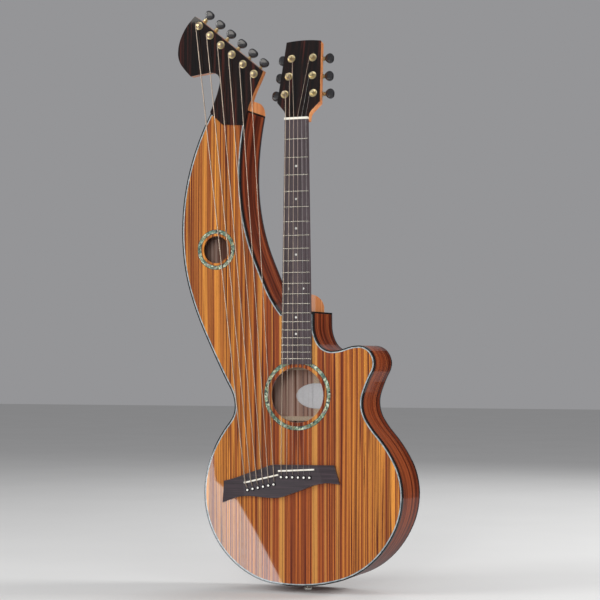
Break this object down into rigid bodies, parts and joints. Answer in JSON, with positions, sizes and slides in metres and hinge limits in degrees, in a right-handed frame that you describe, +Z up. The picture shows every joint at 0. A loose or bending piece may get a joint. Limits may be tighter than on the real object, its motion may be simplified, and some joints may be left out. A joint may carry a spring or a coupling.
{
  "type": "harp guitar",
  "caption": "Acoustic harp guitar: a cutaway body whose bass side grows into a hollow arm with its own head and open sub-bass strings beside the fretted neck.",
  "frame": {"origin": "where the end pin leaves the tail of the rim, on the neck's centre line and half-way through the body's depth", "axes": "+X to the treble side, +Y from the soundboard to the back, +Z up the neck to the heads"},
  "size_m": [0.4341, 0.1303, 1.0685],
  "materials": {
    "top_wood": "gloss, striped",
    "body_wood": "gloss, striped",
    "mahogany": "satin",
    "spruce": "raw",
    "ebony": "oiled",
    "headplate_wood": "gloss",
    "black_binding": "gloss",
    "bone": "polished",
    "pearl": "gloss",
    "pin_plastic": "gloss",
    "button_plastic": "gloss",
    "gold_metal": "polished",
    "nickel_silver": "polished",
    "steel": "plain",
    "bronze": "wound"
  },
  "bodies": {
    "guitar": {"soundboard": "top_wood", "top_binding": "black_binding", "back_plate": "body_wood", "bass_side": "body_wood", "inner_side": "body_wood", "treble_side": "body_wood", "tail_block": "mahogany", "neck_block": "mahogany", "arm_block": "mahogany", "end_strips": "black_binding", "top_braces": "spruce", "back_braces": "spruce", "back_strip": "spruce", "neck": "mahogany", "truss_rod": "steel", "fretboard": "ebony", "frets": "nickel_silver", "fret_dots": "pearl", "nut": "bone", "headplates": "headplate_wood", "harp_head": "mahogany", "bridge": "ebony", "saddles": "bone", "bridge_pins": "pin_plastic", "tuner_housings": "gold_metal", "tuner_bushings": "gold_metal", "playing_strings": "steel", "sub_bass_strings": "bronze", "end_pin": "pin_plastic"},
    "tuner_button_1": {"tuner_button_1": "button_plastic"},
    "tuner_post_1": {"tuner_post_1": "gold_metal"},
    "tuner_button_2": {"tuner_button_2": "button_plastic"},
    "tuner_post_2": {"tuner_post_2": "gold_metal"},
    "tuner_button_3": {"tuner_button_3": "button_plastic"},
    "tuner_post_3": {"tuner_post_3": "gold_metal"},
    "tuner_button_4": {"tuner_button_4": "button_plastic"},
    "tuner_post_4": {"tuner_post_4": "gold_metal"},
    "tuner_button_5": {"tuner_button_5": "button_plastic"},
    "tuner_post_5": {"tuner_post_5": "gold_metal"},
    "tuner_button_6": {"tuner_button_6": "button_plastic"},
    "tuner_post_6": {"tuner_post_6": "gold_metal"},
    "tuner_button_7": {"tuner_button_7": "button_plastic"},
    "tuner_post_7": {"tuner_post_7": "gold_metal"},
    "tuner_button_8": {"tuner_button_8": "button_plastic"},
    "tuner_post_8": {"tuner_post_8": "gold_metal"},
    "tuner_button_9": {"tuner_button_9": "button_plastic"},
    "tuner_post_9": {"tuner_post_9": "gold_metal"},
    "tuner_button_10": {"tuner_button_10": "button_plastic"},
    "tuner_post_10": {"tuner_post_10": "gold_metal"},
    "tuner_button_11": {"tuner_button_11": "button_plastic"},
    "tuner_post_11": {"tuner_post_11": "gold_metal"},
    "tuner_button_12": {"tuner_button_12": "button_plastic"},
    "tuner_post_12": {"tuner_post_12": "gold_metal"}
  },
  "joints": [
    {"name": "button_turn_1", "type": "hinge", "parent": "guitar", "child": "tuner_button_1", "pos_m": [-0.0275, -0.02658, 0.89116], "axis": [-1, 0, 0], "continuous": true},
    {"name": "post_turn_1", "type": "hinge", "parent": "guitar", "child": "tuner_post_1", "pos_m": [-0.0275, -0.0489, 0.89054], "axis": [0, -0.9703, 0.2419], "continuous": true},
    {"name": "button_turn_2", "type": "hinge", "parent": "guitar", "child": "tuner_button_2", "pos_m": [-0.023, -0.01819, 0.92483], "axis": [-1, 0, 0], "continuous": true},
    {"name": "post_turn_2", "type": "hinge", "parent": "guitar", "child": "tuner_post_2", "pos_m": [-0.023, -0.0405, 0.92421], "axis": [0, -0.9703, 0.2419], "continuous": true},
    {"name": "button_turn_3", "type": "hinge", "parent": "guitar", "child": "tuner_button_3", "pos_m": [-0.0208, -0.00972, 0.95879], "axis": [-1, 0, 0], "continuous": true},
    {"name": "post_turn_3", "type": "hinge", "parent": "guitar", "child": "tuner_post_3", "pos_m": [-0.0208, -0.03203, 0.95817], "axis": [0, -0.9703, 0.2419], "continuous": true},
    {"name": "button_turn_4", "type": "hinge", "parent": "guitar", "child": "tuner_button_4", "pos_m": [0.0208, -0.00972, 0.95879], "axis": [1, 0, 0], "continuous": true},
    {"name": "post_turn_4", "type": "hinge", "parent": "guitar", "child": "tuner_post_4", "pos_m": [0.0208, -0.03203, 0.95817], "axis": [0, -0.9703, 0.2419], "continuous": true},
    {"name": "button_turn_5", "type": "hinge", "parent": "guitar", "child": "tuner_button_5", "pos_m": [0.023, -0.01819, 0.92483], "axis": [1, 0, 0], "continuous": true},
    {"name": "post_turn_5", "type": "hinge", "parent": "guitar", "child": "tuner_post_5", "pos_m": [0.023, -0.0405, 0.92421], "axis": [0, -0.9703, 0.2419], "continuous": true},
    {"name": "button_turn_6", "type": "hinge", "parent": "guitar", "child": "tuner_button_6", "pos_m": [0.0275, -0.02658, 0.89116], "axis": [1, 0, 0], "continuous": true},
    {"name": "post_turn_6", "type": "hinge", "parent": "guitar", "child": "tuner_post_6", "pos_m": [0.0275, -0.0489, 0.89054], "axis": [0, -0.9703, 0.2419], "continuous": true},
    {"name": "button_turn_7", "type": "hinge", "parent": "guitar", "child": "tuner_button_7", "pos_m": [-0.19722, -0.0385, 1.02895], "axis": [0.6582, 0, 0.7529], "continuous": true},
    {"name": "post_turn_7", "type": "hinge", "parent": "guitar", "child": "tuner_post_7", "pos_m": [-0.1927, -0.06, 1.025], "axis": [0, -1, 0], "continuous": true},
    {"name": "button_turn_8", "type": "hinge", "parent": "guitar", "child": "tuner_button_8", "pos_m": [-0.17544, -0.0385, 1.00991], "axis": [0.6582, 0, 0.7529], "continuous": true},
    {"name": "post_turn_8", "type": "hinge", "parent": "guitar", "child": "tuner_post_8", "pos_m": [-0.17092, -0.06, 1.00596], "axis": [0, -1, 0], "continuous": true},
    {"name": "button_turn_9", "type": "hinge", "parent": "guitar", "child": "tuner_button_9", "pos_m": [-0.15366, -0.0385, 0.99087], "axis": [0.6582, 0, 0.7529], "continuous": true},
    {"name": "post_turn_9", "type": "hinge", "parent": "guitar", "child": "tuner_post_9", "pos_m": [-0.14914, -0.06, 0.98692], "axis": [0, -1, 0], "continuous": true},
    {"name": "button_turn_10", "type": "hinge", "parent": "guitar", "child": "tuner_button_10", "pos_m": [-0.13188, -0.0385, 0.97183], "axis": [0.6582, 0, 0.7529], "continuous": true},
    {"name": "post_turn_10", "type": "hinge", "parent": "guitar", "child": "tuner_post_10", "pos_m": [-0.12736, -0.06, 0.96788], "axis": [0, -1, 0], "continuous": true},
    {"name": "button_turn_11", "type": "hinge", "parent": "guitar", "child": "tuner_button_11", "pos_m": [-0.1101, -0.0385, 0.95279], "axis": [0.6582, 0, 0.7529], "continuous": true},
    {"name": "post_turn_11", "type": "hinge", "parent": "guitar", "child": "tuner_post_11", "pos_m": [-0.10558, -0.06, 0.94884], "axis": [0, -1, 0], "continuous": true},
    {"name": "button_turn_12", "type": "hinge", "parent": "guitar", "child": "tuner_button_12", "pos_m": [-0.08832, -0.0385, 0.93375], "axis": [0.6582, 0, 0.7529], "continuous": true},
    {"name": "post_turn_12", "type": "hinge", "parent": "guitar", "child": "tuner_post_12", "pos_m": [-0.0838, -0.06, 0.9298], "axis": [0, -1, 0], "continuous": true}
  ],
  "couplings": [
    {"joint": "post_turn_1", "follows": "button_turn_1", "ratio": -0.055556},
    {"joint": "post_turn_2", "follows": "button_turn_2", "ratio": -0.055556},
    {"joint": "post_turn_3", "follows": "button_turn_3", "ratio": -0.055556},
    {"joint": "post_turn_4", "follows": "button_turn_4", "ratio": 0.055556},
    {"joint": "post_turn_5", "follows": "button_turn_5", "ratio": 0.055556},
    {"joint": "post_turn_6", "follows": "button_turn_6", "ratio": 0.055556},
    {"joint": "post_turn_7", "follows": "button_turn_7", "ratio": 0.055556},
    {"joint": "post_turn_8", "follows": "button_turn_8", "ratio": 0.055556},
    {"joint": "post_turn_9", "follows": "button_turn_9", "ratio": 0.055556},
    {"joint": "post_turn_10", "follows": "button_turn_10", "ratio": 0.055556},
    {"joint": "post_turn_11", "follows": "button_turn_11", "ratio": 0.055556},
    {"joint": "post_turn_12", "follows": "button_turn_12", "ratio": 0.055556}
  ]
}
